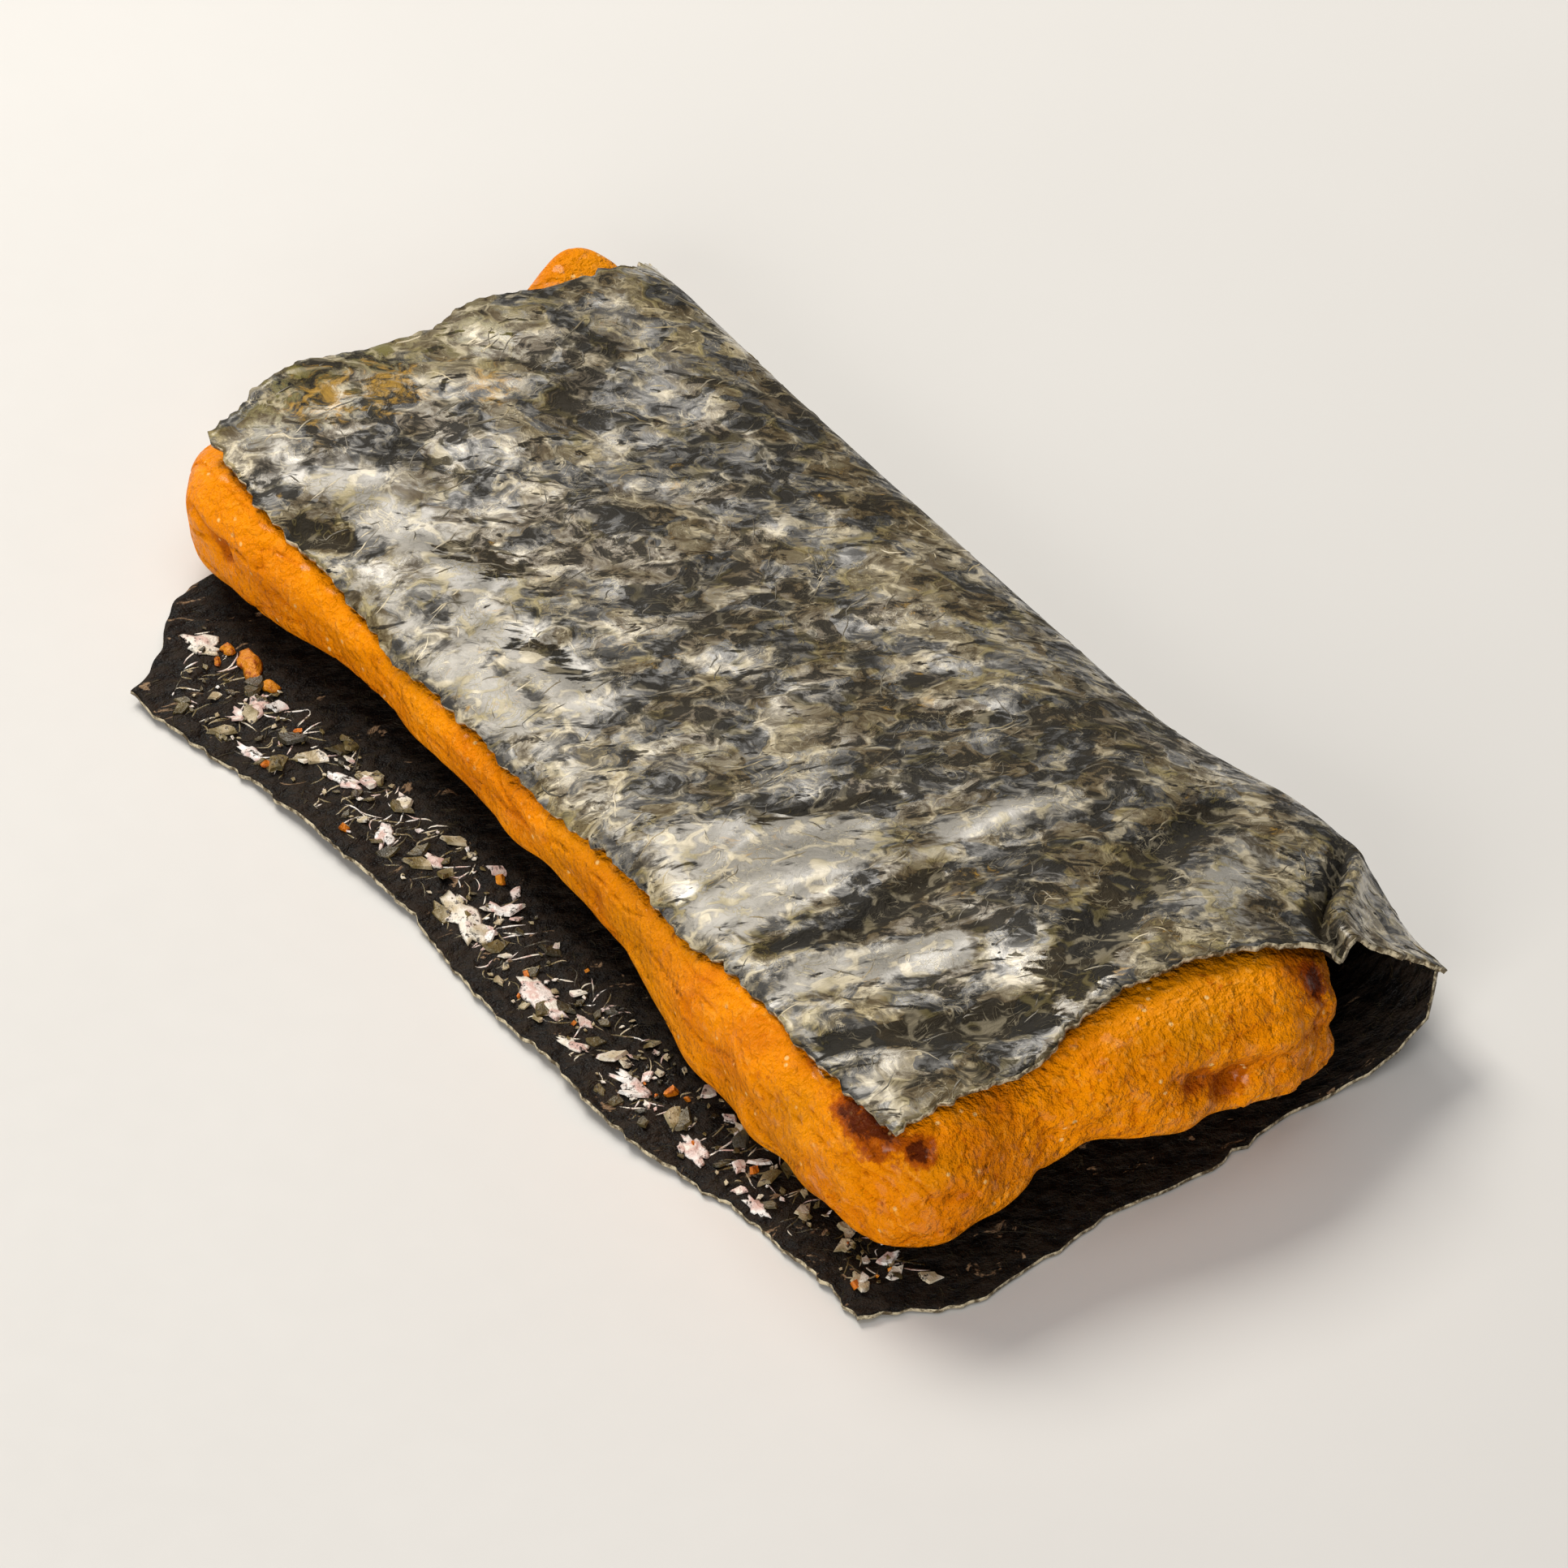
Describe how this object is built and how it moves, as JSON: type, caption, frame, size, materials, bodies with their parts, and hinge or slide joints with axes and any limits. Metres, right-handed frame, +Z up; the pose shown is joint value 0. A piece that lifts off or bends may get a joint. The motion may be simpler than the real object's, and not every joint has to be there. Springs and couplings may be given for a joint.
{
  "type": "nori-wrapped rice cracker",
  "caption": "Oblong glazed rice cracker with thick rounded ends and a thin waist, held in a folded sheet of nori that is open along one side and at both ends.",
  "frame": {"origin": "centre of the part's box, on the plane it rests on", "axes": "+X along the cracker towards the end where the sheet is loose, -Y towards the open long side, +Z up"},
  "size_m": [0.072, 0.0418, 0.0112],
  "materials": {
    "crust": "puffed rice crust with a thin soy glaze, fine grain",
    "nori": "dried seaweed sheet, glossy fibrous outside, rough inside"
  },
  "bodies": {
    "root": {"cracker": "crust", "nori": "nori"}
  },
  "joints": []
}
